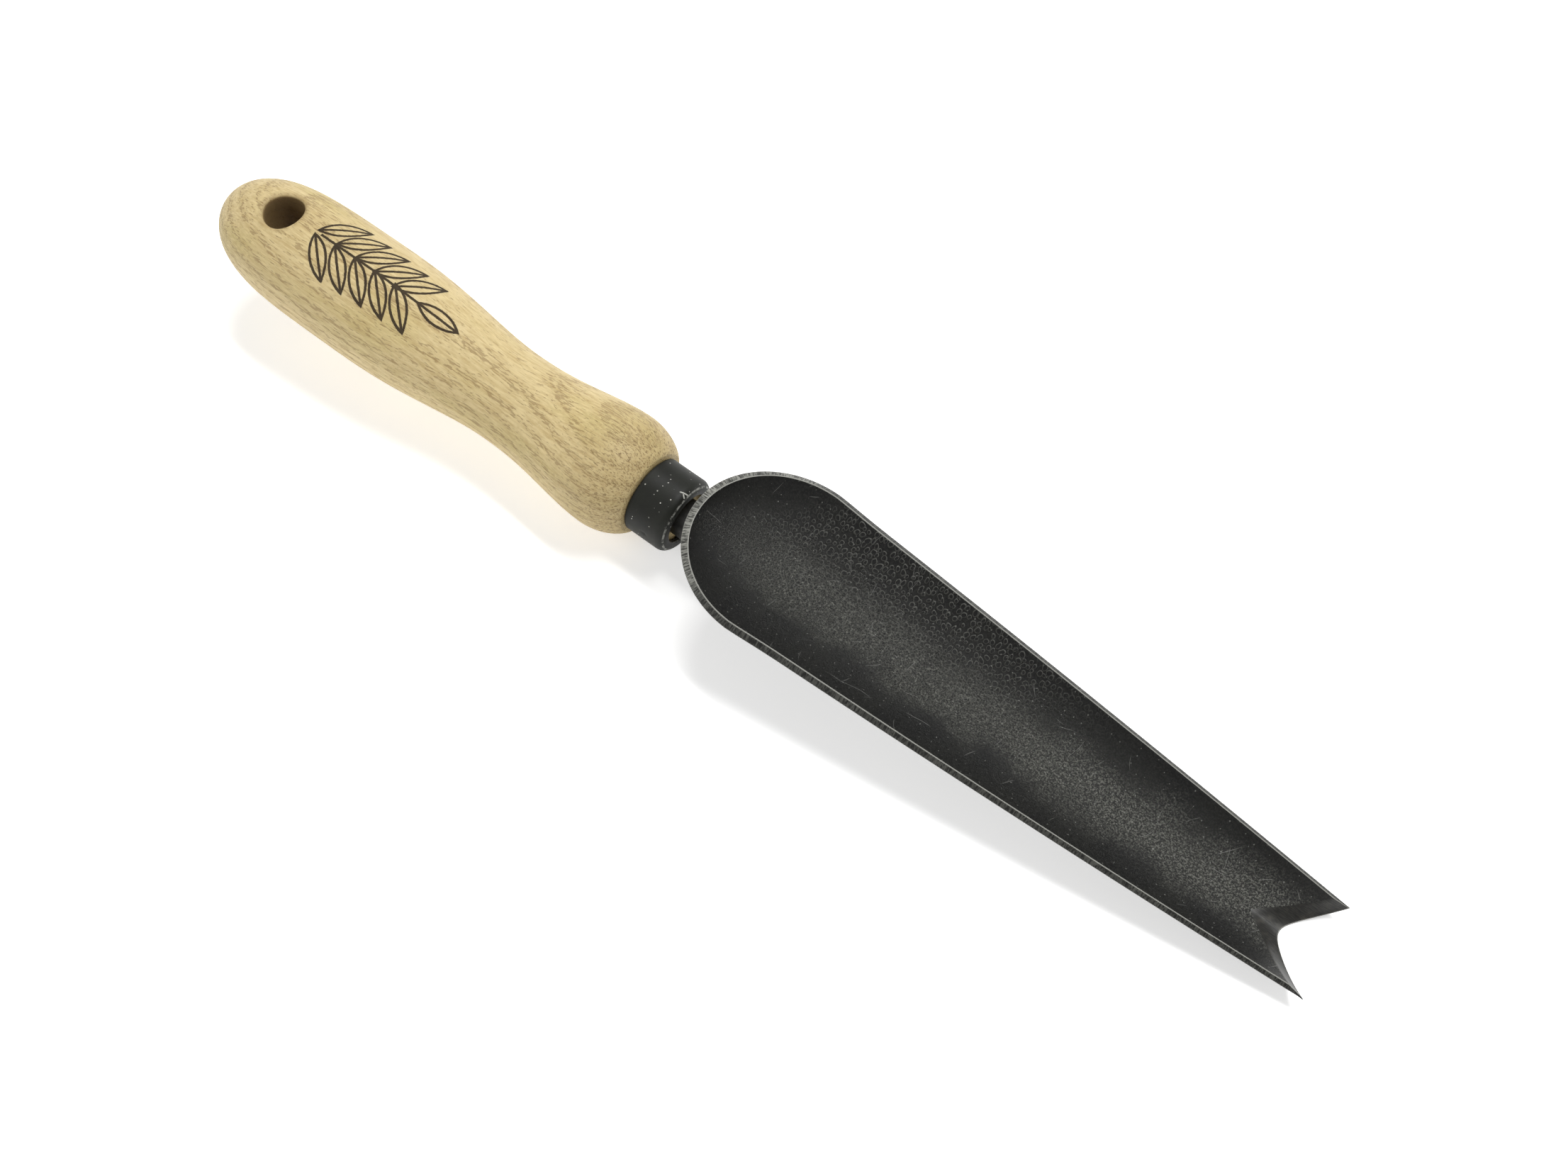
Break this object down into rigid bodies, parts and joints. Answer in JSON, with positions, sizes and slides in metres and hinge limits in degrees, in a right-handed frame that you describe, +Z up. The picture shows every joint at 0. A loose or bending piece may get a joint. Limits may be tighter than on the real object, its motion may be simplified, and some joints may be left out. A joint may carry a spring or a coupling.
{
  "type": "hand transplanter",
  "caption": "Narrow pressed-steel garden scoop with a ground fishtail end on a short turned ash handle with a steel ferrule and a hanging hole.",
  "frame": {"origin": "on the ground under the middle of the tool's box, the tool lying on its back with the scoop's mouth up", "axes": "+X along the tool from the hanging end to the fishtail, +Z up out of the scoop's mouth, +Y to the left of someone who looks along +X"},
  "size_m": [0.3302, 0.0438, 0.0398],
  "materials": {
    "ash_wood": "pale turned ash, fine sanded, satin",
    "ferrule_steel": "drawn steel, blackened, satin",
    "forged_steel": "forged and pressed steel, heat-blackened with fine scale, satin",
    "weld_steel": "weld bead, blackened, satin"
  },
  "bodies": {
    "root": {"handle": "ash_wood", "ferrule": "ferrule_steel", "tang": "forged_steel", "blade": "forged_steel", "weld_bead": "weld_steel"}
  },
  "joints": []
}
